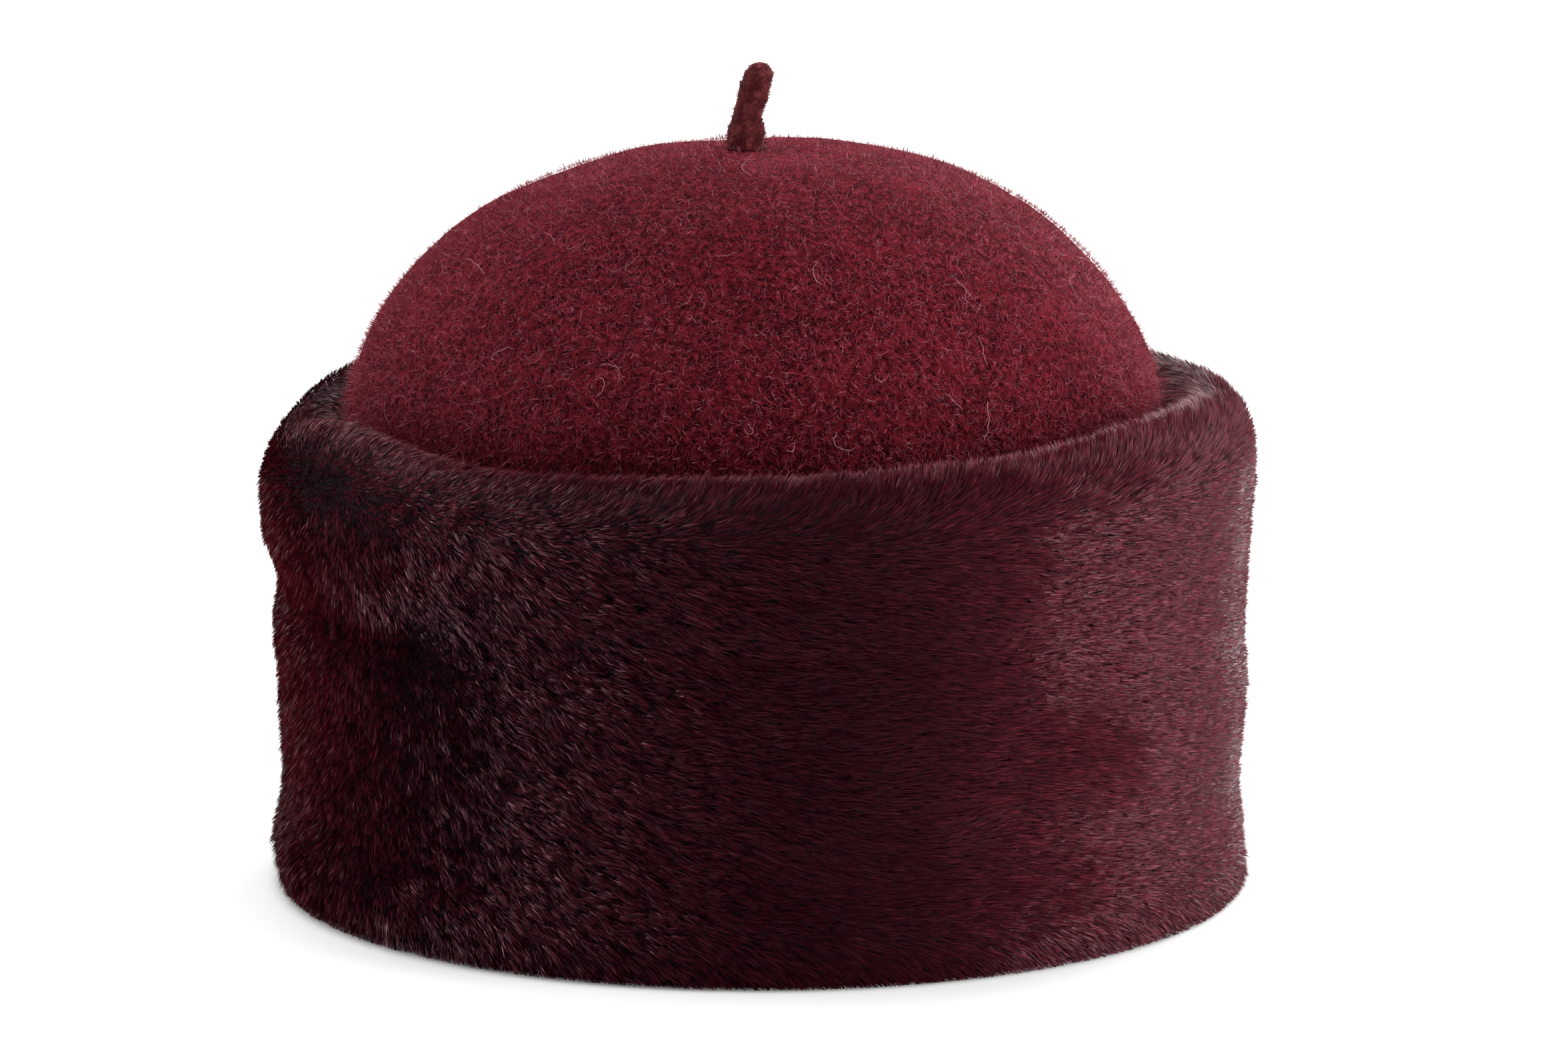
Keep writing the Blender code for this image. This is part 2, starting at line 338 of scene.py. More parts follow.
def crown_radius(azimuth, height):
    """The felt's outer face at a height, with the superellipses read the other way round."""
    share = np.clip((height - CROWN_WIDEST_HEIGHT) / (CROWN_TOP - CROWN_WIDEST_HEIGHT), 0, 1)
    sides = [side.widest * np.cos(np.arcsin(share ** (1 / side.round_up))) ** side.round_in
             for side in (DOME_LEFT, DOME_RIGHT)]
    dome = mix(sides[0], sides[1], right_share(azimuth))
    return np.where(height > CROWN_WIDEST_HEIGHT, dome, skirt_radius(azimuth, height))


def pile_reach(azimuth, height):
    """How far the pile's tips reach from the axis."""
    left = read_table(PILE_ROWS, "height", height, "left")
    right = read_table(PILE_ROWS, "height", height, "right")
    return mix(left, right, right_share(azimuth))


def furred_point(azimuth, along, depth):
    """A point a depth under the pile's tips. along goes from 0 to 1 up the wall, where the radius is
    the reach less the depth, and from 1 to 2 round the roll, which is half an ellipse."""
    share = right_share(azimuth)
    widest_height = mix(RIM_LEFT.widest_height, RIM_RIGHT.widest_height, share)
    wall_height = mix(BACKING_FOOT, widest_height, np.clip(along, 0, 1))
    wall = around(azimuth, pile_reach(azimuth, wall_height) - depth, wall_height)
    half_width = mix(RIM_LEFT.width, RIM_RIGHT.width, share) / 2
    middle = pile_reach(azimuth, widest_height) - half_width
    crest = read_table(RIM_ROWS, "azimuth", np.degrees(azimuth) % 360, "crest")
    angle = ROLL_END_ANGLE * np.clip(along - 1, 0, 1)
    roll = around(azimuth, middle + (half_width - depth) * np.cos(angle),
                  widest_height + (crest - depth - widest_height) * np.sin(angle))
    return np.where((along > 1)[..., None], roll, wall)


def furred_frame(azimuth, along, depth):
    """At each point: its place, the run round the hat, the way up the fur, and the way out."""
    step = 1e-3
    place = furred_point(azimuth, along, depth)
    forward = unit(furred_point(azimuth + step, along, depth) - furred_point(azimuth - step, along, depth))
    low, high = np.maximum(along - step, 0), np.minimum(along + step, 2)
    upward = unit(furred_point(azimuth, high, depth) - furred_point(azimuth, low, depth))
    outward = unit(np.cross(forward, upward))
    return place, forward, unit(np.cross(outward, forward)), outward


def mesh_from(name, points, face_sets):
    """A smooth-shaded mesh of an array of points and arrays of faces, each of one corner count."""
    mesh = bpy.data.meshes.new(name)
    corners = np.concatenate([faces.ravel() for faces in face_sets]).astype(np.int32)
    counts = np.concatenate([np.full(len(faces), faces.shape[1]) for faces in face_sets])
    starts = np.concatenate([[0], np.cumsum(counts)[:-1]]).astype(np.int32)
    mesh.vertices.add(len(points))
    mesh.vertices.foreach_set("co", np.ascontiguousarray(points, np.float32).ravel())
    mesh.loops.add(len(corners))
    mesh.loops.foreach_set("vertex_index", corners)
    mesh.polygons.add(len(counts))
    mesh.polygons.foreach_set("loop_start", starts)
    mesh.update(calc_edges=True)
    mesh.shade_smooth()
    return mesh


def add_piece(mesh, material, replaces=()):
    """Links a finished mesh at the origin as a piece of the hat."""
    mesh.materials.append(material)
    piece = bpy.data.objects.new(mesh.name, mesh)
    bpy.context.scene.collection.objects.link(piece)
    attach(piece, BODY)
    if replaces:
        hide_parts(*replaces)
    return piece


def ring_faces(rows, columns, closed=False):
    """Quads between the rows of a grid that runs all the way round, rows top to bottom."""
    row, column = np.mgrid[0:rows if closed else rows - 1, 0:columns]
    after, below = (column + 1) % columns, (row + 1) % rows
    corners = (row * columns + column, below * columns + column,
               below * columns + after, row * columns + after)
    return np.stack([corner.ravel() for corner in corners], -1)


def pole_faces(rows, columns):
    """Triangles that close a grid which runs all the way round: from its first ring and its last ring
    to the two points that follow the grid's own."""
    first = np.arange(columns)
    after = (first + 1) % columns
    last = (rows - 1) * columns
    pole = np.full(columns, rows * columns)
    return np.concatenate([np.stack([pole, first, after], -1),
                           np.stack([last + first, pole + 1, last + after], -1)])


def add_strand_map(mesh, shades, tips):
    """Gives each face corner its strand's shade column and how far it is from root to tip."""
    layer = mesh.uv_layers.new(name=STRAND_MAP)
    corners = np.empty(len(mesh.loops), np.int32)
    mesh.loops.foreach_get("vertex_index", corners)
    layer.uv.foreach_set("vector", np.stack([shades, tips], -1)[corners].astype(np.float32).ravel())


def add(tree, kind, inputs=None, **settings):
    """Adds a node with its settings, and sets its inputs. A socket among them is linked, and a node
    is linked by its first output in use."""
    node = tree.nodes.new("ShaderNode" + kind)
    for name, value in settings.items():
        setattr(node, name, value)
    for name, value in (inputs or {}).items():
        if isinstance(value, bpy.types.Node):
            value = next(socket for socket in value.outputs if socket.enabled)
        if isinstance(value, bpy.types.NodeSocket):
            tree.links.new(value, node.inputs[name])
        else:
            node.inputs[name].default_value = value
    return node


def new_material(name):
    """A material with an empty tree."""
    material = bpy.data.materials.new(name)
    material.use_nodes = True
    material.node_tree.nodes.clear()
    return material, material.node_tree


def ramp(tree, fac, stops):
    """A colour ramp through (place, linear colour) stops."""
    node = add(tree, "ValToRGB", {"Fac": fac})
    band = node.color_ramp
    while len(band.elements) < len(stops):
        band.elements.new(0.5)
    for element, (place, colour) in zip(band.elements, stops):
        element.position = place
        element.color = (*colour, 1.0)
    return node


def strand_coordinates(tree, hairs):
    """The shade and the root-to-tip value of the strand map. A blade stands for several hairs side by
    side, and each column of the map across it takes a random step away from the blade's own shade."""
    strand = add(tree, "UVMap", uv_map=STRAND_MAP)
    shade, tip = add(tree, "SeparateXYZ", {"Vector": strand}).outputs[:2]
    if hairs == 1:
        return shade, tip
    column = add(tree, "Math", {0: shade, 1: float(SHADES * hairs)}, operation="MULTIPLY")
    column = add(tree, "Math", {0: column}, operation="FLOOR")
    draw = add(tree, "TexWhiteNoise", {"W": column}, noise_dimensions="1D")
    step = add(tree, "Math", {0: draw, 1: 0.7, 2: -0.3}, operation="MULTIPLY_ADD")
    return add(tree, "Math", {0: shade, 1: step}, operation="ADD", use_clamp=True), tip


def felted_wool(settings):
    """Boiled and fulled wool felt: matte, with a web of curled fibres over a mottled ground, and a
    fuzz that catches the light at its edges."""
    material, tree = new_material("felted wool")
    here = add(tree, "TexCoord").outputs["Object"]
    # Scales are 1 over a size in metres: 14 mm blotches, 1.7 mm mottling, 1 mm fibre loops
    blotch = add(tree, "TexNoise", {"Vector": here, "Scale": 70.0, "Detail": 2.0})
    mottle = add(tree, "TexNoise", {"Vector": here, "Scale": 600.0, "Detail": 1.5, "Roughness": 0.6})
    # Wandering coordinates curl the fibre lines
    warp = add(tree, "TexNoise", {"Vector": here, "Scale": 600.0, "Detail": 1.0})
    bent = add(tree, "VectorMath", {0: warp.outputs["Color"], 1: (0.0016, 0.0016, 0.0016), 2: here},
               operation="MULTIPLY_ADD")
    lines = []
    for scale in (760.0, 1150.0):
        cells = add(tree, "TexVoronoi", {"Vector": bent, "Scale": scale}, feature="DISTANCE_TO_EDGE")
        lines.append(add(tree, "MapRange", {"Value": cells, "From Min": 0.0, "From Max": 0.10,
                                            "To Min": 1.0, "To Max": 0.0}))
    web = add(tree, "Math", {0: lines[0], 1: lines[1]}, operation="MAXIMUM")
    shade = add(tree, "Math", {0: blotch, 1: 0.2, 2: 0.1}, operation="MULTIPLY_ADD")
    shade = add(tree, "Math", {0: mottle, 1: 0.8, 2: shade}, operation="MULTIPLY_ADD")
    ground = ramp(tree, shade, ((0.52, settings.dark_colour), (0.60, settings.colour),
                                (0.68, settings.light_colour)))
    share = add(tree, "Math", {0: web, 1: 0.55}, operation="MULTIPLY")
    colour = add(tree, "Mix", {"Factor": share, "A": ground, "B": (*settings.light_colour, 1.0)},
                 data_type="RGBA")
    relief = add(tree, "Math", {0: web, 1: 0.5, 2: mottle}, operation="MULTIPLY_ADD")
    bump = add(tree, "Bump", {"Height": relief, "Strength": 0.9, "Distance": 0.0013})
    shader = add(tree, "BsdfPrincipled",
                 {"Base Color": colour, "Normal": bump, "Roughness": 0.95, "Specular IOR Level": 0.05,
                  "Sheen Weight": 0.45, "Sheen Roughness": 0.22,
                  "Sheen Tint": (*linear("#ff6c84"), 1.0)})
    add(tree, "OutputMaterial", {"Surface": shader})
    return material


def wool_fibre(name, stops):
    """Loose wool fibres: each one shade of the wool, paler towards its tip as a painted glow of light
    through the fine ends, matte with a faint sheen.
    """
    material, tree = new_material(name)
    shade, tip = strand_coordinates(tree, 1)
    # Painted glow: the tips are made paler, standing in for light shining through the fibres
    paler = add(tree, "Math", {0: tip, 1: 0.33, 2: shade}, operation="MULTIPLY_ADD", use_clamp=True)
    shader = add(tree, "BsdfPrincipled",
                 {"Base Color": ramp(tree, paler, stops), "Roughness": 0.7, "Specular IOR Level": 0.15,
                  "Sheen Weight": 1.0, "Sheen Roughness": 0.25,
                  "Sheen Tint": (*linear("#ff8aa2"), 1.0)})
    add(tree, "OutputMaterial", {"Surface": shader})
    return material


def tight_felt(settings):
    """Hard-rolled felt: the same wool, browner and denser, with a fine pebbled grain."""
    material, tree = new_material("tight felt")
    here = add(tree, "TexCoord").outputs["Object"]
    # 0.5 mm pebbles over 2.5 mm mottling
    grain = add(tree, "TexNoise", {"Vector": here, "Scale": 2000.0, "Detail": 3.0, "Roughness": 0.6})
    mottle = add(tree, "TexNoise", {"Vector": here, "Scale": 400.0, "Detail": 2.0})
    shade = add(tree, "Math", {0: grain, 1: 0.5, 2: mottle}, operation="MULTIPLY_ADD")
    colour = ramp(tree, shade, ((0.55, settings.dark_colour), (0.78, settings.colour),
                                (0.95, settings.light_colour)))
    bump = add(tree, "Bump", {"Height": grain, "Strength": 0.8, "Distance": 0.0004})
    shader = add(tree, "BsdfPrincipled",
                 {"Base Color": colour, "Normal": bump, "Roughness": 0.95, "Specular IOR Level": 0.2,
                  "Sheen Weight": 0.25, "Sheen Tint": (*linear("#d89a92"), 1.0)})
    add(tree, "OutputMaterial", {"Surface": shader})
    return material


def pile_backing(settings):
    """The dense underfur at the backing: nearly black, partly its dark root colour and partly a painted
    shade of the deep pile, with a fine upright grain.
    """
    material, tree = new_material("pile underfur")
    here = add(tree, "TexCoord").outputs["Object"]
    # 0.4 mm hair ends over 5 mm tufts
    hairs = add(tree, "TexNoise", {"Vector": here, "Scale": 2500.0, "Detail": 2.0})
    tufts = add(tree, "TexNoise", {"Vector": here, "Scale": 200.0, "Detail": 1.0})
    shade = add(tree, "Math", {0: hairs, 1: tufts}, operation="MULTIPLY")
    # The near-black stop is painted shade of the deep pile between the strands
    colour = ramp(tree, shade, ((0.12, (0.002, 0.0006, 0.001)), (0.45, settings.root_colour)))
    bump = add(tree, "Bump", {"Height": hairs, "Strength": 0.8, "Distance": 0.0006})
    shader = add(tree, "BsdfPrincipled", {"Base Color": colour, "Normal": bump, "Roughness": 0.8})
    add(tree, "OutputMaterial", {"Surface": shader})
    return material


def pile_fibre(settings, finish):
    """Modacrylic fur fibre: darker at the root and lighter at the tip, smooth enough to glint."""
    material, tree = new_material(finish.name + " pile fibre")
    shade, tip = strand_coordinates(tree, HAIRS_ACROSS)
    dark = ramp(tree, tip, ((0.10, settings.root_colour), (0.85, settings.colour)))
    light = ramp(tree, tip, ((0.15, settings.root_colour), (0.90, settings.tip_colour)))
    colour = add(tree, "Mix", {"Factor": shade, "A": dark, "B": light}, data_type="RGBA")
    rough = add(tree, "MapRange",
                {"Value": shade, "To Min": finish.dark_rough, "To Max": finish.light_rough})
    # A fibre is round, so its highlight is narrow along the strand and wide across it
    across = add(tree, "Tangent", direction_type="UV_MAP", uv_map=STRAND_MAP)
    shader = add(tree, "BsdfPrincipled",
                 {"Base Color": colour, "Roughness": rough, "IOR": 1.53,
                  "Anisotropic": finish.roundness, "Tangent": across,
                  "Specular IOR Level": finish.level, "Specular Tint": (*linear("#ffb2be"), 1.0),
                  "Sheen Weight": 0.12, "Sheen Roughness": 0.5,
                  "Sheen Tint": (*linear("#c83858"), 1.0)})
    add(tree, "OutputMaterial", {"Surface": shader})
    return material


def crown_shell(rings=36, skirt_rings=12, columns=180):
    """The felt wall as one closed shell: the outer face turned from its section, the inner face a
    wall's thickness under it, and a round edge along the hem between them."""
    azimuth = np.linspace(0, 2 * math.pi, columns, endpoint=False)[None, :]
    angle = (math.pi / 2) * (1 - (np.arange(rings)[:, None] + 1) / rings)
    dome = around(azimuth, *dome_point(azimuth, angle))
    half = FELT_THICKNESS / 2
    height = np.linspace(CROWN_WIDEST_HEIGHT, CROWN_HEM + half, skirt_rings + 1)[1:, None]
    outer = np.concatenate([dome, around(azimuth, skirt_radius(azimuth, height), height)])
    down = np.gradient(outer, axis=0)
    across = np.roll(outer, -1, 1) - np.roll(outer, 1, 1)
    outward = unit(np.cross(down, across))
    # Soft unevenness of hand-blocked felt, only where the cuff leaves room for it
    free = ease((outer[..., 2] - UNEVEN_FROM) / UNEVEN_OVER)[..., None]
    uneven = 0.0004 * ripple(outer, 0.045, 3) + 0.00013 * ripple(outer, 0.011, 4)
    outer = outer + outward * uneven[..., None] * free
    inner = (outer - outward * FELT_THICKNESS)[::-1]
    turn = np.linspace(0, math.pi, 8)[1:-1, None, None]
    middle = (outer[-1] + inner[0]) / 2
    hem = middle + half * (np.cos(turn) * outward[-1] - np.sin(turn) * np.array((0, 0, 1.0)))
    body = np.concatenate([outer, hem, inner])
    rows = len(body)
    points = np.concatenate([body.reshape(-1, 3), [[0, 0, CROWN_TOP], [0, 0, CROWN_TOP - FELT_THICKNESS]]])
    return points, [ring_faces(rows, columns), pole_faces(rows, columns)]


def fibre_ribbons(path, outward, width, taper):
    """Flat ribbons along paths of points, tapered to a point at the tip. Each is as wide, across its
    run and along the surface, as its width times the taper at each point."""
    count, steps, _ = path.shape
    run = unit(np.gradient(path, axis=1))
    side = unit(np.cross(run, outward)) * (width[:, None] * taper)[..., None] / 2
    left, right = path + side, path - side
    body = np.stack([left[:, :-1], right[:, :-1]], 2).reshape(count, -1, 3)
    points = np.concatenate([body, path[:, -1:]], 1)
    per = 2 * (steps - 1) + 1
    start = np.arange(count)[:, None] * per
    end = start + 2 * (steps - 2)
    faces = [np.concatenate([end, end + 2, end + 1], 1)]
    for i in range(steps - 2):
        a = start + 2 * i
        faces.append(np.concatenate([a, a + 2, a + 3, a + 1], 1))
    along = np.concatenate([np.repeat(np.linspace(0, 1, steps)[:-1], 2), [1.0]])
    return points.reshape(-1, 3), faces, np.tile(along, count), per


def add_fibres(name, chance, path, outward, width, taper, shades, material):
    """Adds ribbons as one piece, each in a shade drawn from a range, and its sides a little apart."""
    points, faces, along, per = fibre_ribbons(path, outward, width, taper)
    mesh = mesh_from(name, points, faces)
    shade = np.floor(chance.uniform(*shades, len(path)) * (SHADES - 1)) + 0.5
    sides = np.append(np.tile([-0.3, 0.3], per // 2), 0.0)
    add_strand_map(mesh, (shade[:, None] + sides).ravel() / SHADES, along)
    add_piece(mesh, material)


def curled_paths(chance, azimuth, angle, steps, length, turn, lift):
    """Fibres that wander over the dome: each sets off one way and turns as it goes, and its height
    over the felt is a low arch that may rise to its tip."""
    count = len(azimuth)
    radius, height = dome_point(azimuth, angle)
    place = around(azimuth, radius, height)
    nudge = 1e-3
    east = unit(around(azimuth + nudge, *dome_point(azimuth + nudge, angle)) - place)
    north = around(azimuth, *dome_point(azimuth, np.minimum(angle + nudge, math.pi / 2))) - place
    outward = unit(np.cross(east, north))
    north = np.cross(outward, east)
    t = np.linspace(0, 1, steps)[None, :]
    heading = chance.uniform(0, 2 * math.pi, (count, 1)) + turn[:, None] * t
    heading = heading + chance.normal(0, 0.35, (count, steps))
    step = (length / (steps - 1))[:, None]
    x, y = (np.concatenate([np.zeros((count, 1)), np.cumsum(part(heading[:, :-1]) * step, 1)], 1)
            for part in (np.cos, np.sin))
    # The dome falls away under a straight fibre, with a radius of about 90 mm
    bow = (x * x + y * y) / (2 * 0.09)
    over = 0.00012 + lift[:, None] * t ** 1.3 + 0.0002 * np.sin(math.pi * t) - bow
    path = (place[:, None] + x[..., None] * east[:, None] + y[..., None] * north[:, None]
            + over[..., None] * outward[:, None])
    return path, outward[:, None]


def dome_places(chance, count):
    """Random places spread evenly over the dome's area: more of them where the dome is wider."""
    azimuth = chance.uniform(0, 2 * math.pi, count)
    angle = np.empty(0)
    while len(angle) < count:
        guess = chance.uniform(-0.02, math.pi / 2, count)
        keep = chance.uniform(0, 1, count) < np.cos(np.maximum(guess, 0)) ** 0.85
        angle = np.concatenate([angle, guess[keep]])
    return azimuth, np.maximum(angle[:count], 0)


def cuff_shell(columns=240, wall_rows=30, roll_rows=18, inner_rows=12):
    """The cuff's backing as one closed ring: up the wall, over the roll, down the face that hugs the
    felt, and flat along the hem."""
    azimuth = np.linspace(0, 2 * math.pi, columns, endpoint=False)[None, :]
    along = np.concatenate([np.linspace(0, 1, wall_rows), 1 + np.linspace(0, 1, roll_rows + 1)[1:]])
    outer = furred_point(azimuth + 0 * along[:, None], along[:, None] + 0 * azimuth, BACKING_DEPTH)
    height = np.linspace(LINING_TOP, 0.0, inner_rows)[:, None]
    inner = around(azimuth, skirt_radius(azimuth, height) + SEAT_GAP, height)
    foot = around(azimuth, pile_reach(azimuth, 0.0) - BACKING_DEPTH - FOOT_DRAWN_IN, 0.0)
    loop = np.concatenate([outer, inner, foot])[::-1]
    return loop.reshape(-1, 3), [ring_faces(len(loop), columns, closed=True)]


def on_patches(rows, column, azimuth, height):
    """A column's values, each faded away from its patch's middle as a bell: exp(-(distance over half
    width) squared), and added up."""
    total = np.zeros(len(azimuth))
    for row in rows:
        turn = (azimuth - math.radians(row.azimuth) + math.pi) % (2 * math.pi) - math.pi
        far = (turn * CUFF_RADIUS / row.wide) ** 2 + ((height - row.height) / row.tall) ** 2
        total += (getattr(row, column) if column else 1.0) * np.exp(-far)
    return total


def wall_nap(azimuth, along, place):
    """The lie of the pile: the table's angle, turned up over the roll and down at the hem, changed
    on the patches and stirred by smooth noise. Returns the angle, the two lifts, how loose the pile
    is, how far over the crest, and how far it sinks into a hollow."""
    height = place[:, 2]
    angle, crest_angle, root_lift, tip_lift, loose = (
        read_table(NAP_ROWS, "azimuth", np.degrees(azimuth) % 360, column)
        for column in NAP_ROWS[0]._fields[1:])
    crest = ease((along - CREST_TURN_FROM) / (CREST_TURN_TO - CREST_TURN_FROM))
    angle = mix(angle + on_patches(PATCH_ROWS, "turn", azimuth, height), crest_angle, crest)
    angle = mix(angle, np.minimum(angle, HEM_ANGLE), ease(1 - along / HEM_TURN))
    ragged = CREST_RAISED + CREST_RAGGED * ripple(place, 0.005, 19)
    raised = CREST_LIFT + right_share(azimuth) * ragged
    tip_lift = mix(tip_lift + on_patches(PATCH_ROWS, "lift", azimuth, height), raised, crest)
    for stir in ANGLE_STIRS:
        angle = angle + mix(stir.combed, stir.loose, loose) * ripple(place, stir.length, stir.seed)
    for stir in LIFT_STIRS:
        tip_lift = tip_lift + mix(stir.combed, stir.loose, loose) * ripple(place, stir.length, stir.seed)
    # Loose pile also parts where a noise rises above 0.3
    hollow = 0.9 * loose * ease((ripple(place, 0.0055, 16) - 0.3) / 0.6) * (1 - crest)
    hollow = np.clip(hollow + on_patches(HOLLOW_ROWS, None, azimuth, height), 0, 1)
    return np.radians(angle), np.radians(root_lift), np.radians(tip_lift), loose, crest, hollow


def tuft_of(azimuth, distance, across):
    """Sorts strands into tufts: each goes to the nearest point of a jittered grid, whose cells are
    longer round the hat than up it. Returns the way to that point, round the hat and up the fur, and
    four random numbers of the tuft."""
    around_hat = round(2 * math.pi * CUFF_RADIUS / (TUFT_STRETCH * across))
    x = azimuth / (2 * math.pi) * around_hat
    y = distance / across
    # Two primes spread the cells over a table of random numbers
    table = np.random.default_rng(99).normal(size=(4096, 4))
    nearest, to_x, to_y = np.full(len(x), 9.0), np.zeros(len(x)), np.zeros(len(x))
    tuft = np.zeros(len(x), int)
    for step_x, step_y in np.ndindex(3, 3):
        cell_x = np.floor(x).astype(int) + step_x - 1
        cell_y = np.floor(y).astype(int) + step_y - 1
        number = (cell_x % around_hat * 7919 + cell_y * 1237) % len(table)
        away_x = cell_x + 0.5 + 0.35 * np.clip(table[number, 0], -1, 1) - x
        away_y = cell_y + 0.5 + 0.35 * np.clip(table[number, 1], -1, 1) - y
        closer = np.hypot(away_x, away_y) < nearest
        nearest = np.where(closer, np.hypot(away_x, away_y), nearest)
        to_x, to_y = np.where(closer, away_x, to_x), np.where(closer, away_y, to_y)
        tuft = np.where(closer, number, tuft)
    draws = table[(tuft + 2048) % len(table)]
    return (to_x * TUFT_STRETCH * across)[:, None], (to_y * across)[:, None], draws


def turned(a, b, angle):
    """Vectors a turned towards b by an angle: a cos + b sin."""
    return np.cos(angle)[:, None] * a + np.sin(angle)[:, None] * b


def pile_strands(chance, count, sector, settings, guard):
    """Strands that stand up from the backing and lean over along the nap, drawn in with their
    neighbours to a common tip. A guard hair is a blade of two triangles with an elbow, and a hair of
    the underfur is one triangle."""
    degrees = chance.uniform(sector.start, sector.end, count) + chance.normal(0, SECTOR_OVERLAP, count)
    azimuth = np.radians(degrees) % (2 * math.pi)
    distance = chance.uniform(0, WALL_LENGTH + ROLL_LENGTH, count)
    along = np.where(distance < WALL_LENGTH, distance / WALL_LENGTH,
                     1 + (distance - WALL_LENGTH) / ROLL_LENGTH)
    place, forward, upward, outward = furred_frame(azimuth, along, BACKING_DEPTH)
    angle, root_lift, tip_lift, loose, crest, hollow = wall_nap(azimuth, along, place)
    to_x, to_y, draws = tuft_of(azimuth, distance, settings.tuft_width)
    to_middle = to_x * forward + to_y * upward

    angle = angle + mix(*TUFT_ANGLE, loose) * draws[:, 0] + chance.normal(0, mix(*HAIR_ANGLE, loose))
    root_lift = root_lift + chance.normal(0, ROOT_LIFT, count)
    tip_lift = tip_lift + mix(*TUFT_LIFT, loose) * draws[:, 1] + chance.normal(0, mix(*HAIR_LIFT, loose))
    nap = turned(forward, upward, angle)
    length = settings.length * mix(1.0, 0.8 + 0.25 * right_share(azimuth), crest)
    length = length * chance.uniform(0.7, 1.15, count)
    length = length * (1 + mix(*TUFT_LENGTH, loose) * draws[:, 2]) * (1 - 0.5 * hollow)
    bend = place + turned(nap, outward, root_lift) * (ELBOW * length)[:, None]
    tip = bend + turned(nap, outward, tip_lift) * ((1 - ELBOW) * length)[:, None]
    gather = mix(*GATHER, loose) * chance.uniform(0.4, 1.0, count)
    tip = tip + to_middle * gather[:, None]
    bend = keep_clear(bend + to_middle * (0.4 * gather)[:, None])
    # A hair that would run into the floor ends on it
    drop = np.maximum(bend[:, 2] - tip[:, 2], 1e-6)
    tip = mix(bend, tip, np.clip((bend[:, 2] - FLOOR_GAP) / drop, 0.05, 1)[:, None])
    tip = keep_clear(tip)
    if not guard:
        tip = mix(bend, tip, UNDERFUR_REACH)

    run = unit(tip - bend)
    side = unit(np.cross(run, outward))
    roll = chance.normal(0, mix(*BLADE_ROLL, loose))
    width = settings.width * mix(1.0, 0.7, crest) * chance.uniform(0.6, 1.35, count) / 2
    wide = turned(side, np.cross(side, run), roll) * width[:, None]
    shade = chance.uniform(0, 1, count) ** mix(*PALE_POWER, loose) + 0.12 * draws[:, 3]
    # Painted light and shade from the patches
    shade = shade + on_patches(PATCH_ROWS, "paler", azimuth, place[:, 2])
    # Painted shade: hollows are darkened, and so is loose underfur
    shade = np.clip(shade, 0, 1) * (1 - 0.8 * hollow) * (1 if guard else mix(1.0, 0.5, loose))
    shade = np.floor(shade * (SHADES - 1)) + 0.5
    # A strand spans nearly all of its column of the strand map
    if guard:
        points = np.stack([place, bend + wide, bend - wide, tip], 1)
        corners = np.array([[0, 1, 2], [1, 3, 2]])
        spread, tips = (0.0, -0.48, 0.48, 0.0), (0.0, ELBOW, ELBOW, 1.0)
    else:
        points = np.stack([bend + wide, bend - wide, tip], 1)
        corners = np.array([[0, 2, 1]])
        spread, tips = (-0.48, 0.48, 0.0), (0.25, 0.25, UNDERFUR_REACH)
    per = points.shape[1]
    faces = (np.arange(count)[:, None, None] * per + corners).reshape(-1, 3)
    shades = (shade[:, None] + np.array(spread)) / SHADES
    return points.reshape(-1, 3), faces, shades.ravel(), np.tile(tips, count)


def keep_clear(points):
    """Moves points out of the floor and off the felt."""
    azimuth = np.arctan2(points[:, 1], points[:, 0])
    height = np.maximum(points[:, 2], FLOOR_GAP)
    radius = np.hypot(points[:, 0], points[:, 1])
    nearest = crown_radius(azimuth, height) + 2 * SEAT_GAP
    return around(azimuth, np.maximum(radius, nearest), height)


def colour_property(name, description, colour):
    """A colour that a user can change, from its sRGB hex."""
    return bpy.props.FloatVectorProperty(name=name, description=description, default=linear(colour),
                                         subtype="COLOR", size=3, min=0, max=1)


def length_property(name, description, metres):
    """A length that a user can change."""
    return bpy.props.FloatProperty(name=name, description=description, default=metres,
                                   unit="LENGTH", precision=5, min=0.00001)


class WoolSettings(bpy.types.PropertyGroup):
    """The felted crown's colours and fibres."""
    colour: colour_property("Felt", "The wool's own colour", "#56080f")
    dark_colour: colour_property("Hollows", "The darker patches of the felt", "#220208")
    light_colour: colour_property("Fibres", "The paler curled fibres on the felt", "#8e2331")
    fibres: bpy.props.IntProperty(
        name="Long fibres", description="Curled fibres that lie on the felt", default=12500, min=0)
    fuzz: bpy.props.IntProperty(
        name="Short fuzz", description="Short fibres that stand off the felt", default=78000, min=0)
    strays: bpy.props.IntProperty(
        name="Stray hairs", description="Long pale hairs that curl off the felt", default=70, min=0)
    fibre_width: length_property("Fibre width", "How wide a fibre is drawn", 0.00012)


class StalkSettings(bpy.types.PropertyGroup):
    """The stalk's colours and fuzz."""
    colour: colour_property("Felt", "The stalk's own colour", "#6e2a2e")
    dark_colour: colour_property("Hollows", "The darker grain of the stalk", "#4a181c")
    light_colour: colour_property("Fibres", "The paler grain of the stalk", "#9c4a4e")
    fuzz: bpy.props.IntProperty(
        name="Fuzz", description="Short fibres that stand off the stalk", default=2600, min=0)
    fuzz_width: length_property("Fibre width", "How wide a fibre of the fuzz is drawn", 0.00010)


class FurSettings(bpy.types.PropertyGroup):
    """The cuff's pile."""
    root_colour: colour_property("Root", "Colour of the pile at its roots", "#220610")
    colour: colour_property("Dark strands", "Colour of the darker strands' tips", "#430b18")
    tip_colour: colour_property("Light strands", "Colour of the lighter strands' tips", "#ad3e50")
    length: length_property("Length", "Length of a strand of the pile", 0.0050)
    width: length_property("Strand width", "Width of a strand of the pile", 0.00028)
    tuft_width: length_property("Tuft width", "Width of the tufts that the pile gathers into", 0.0015)


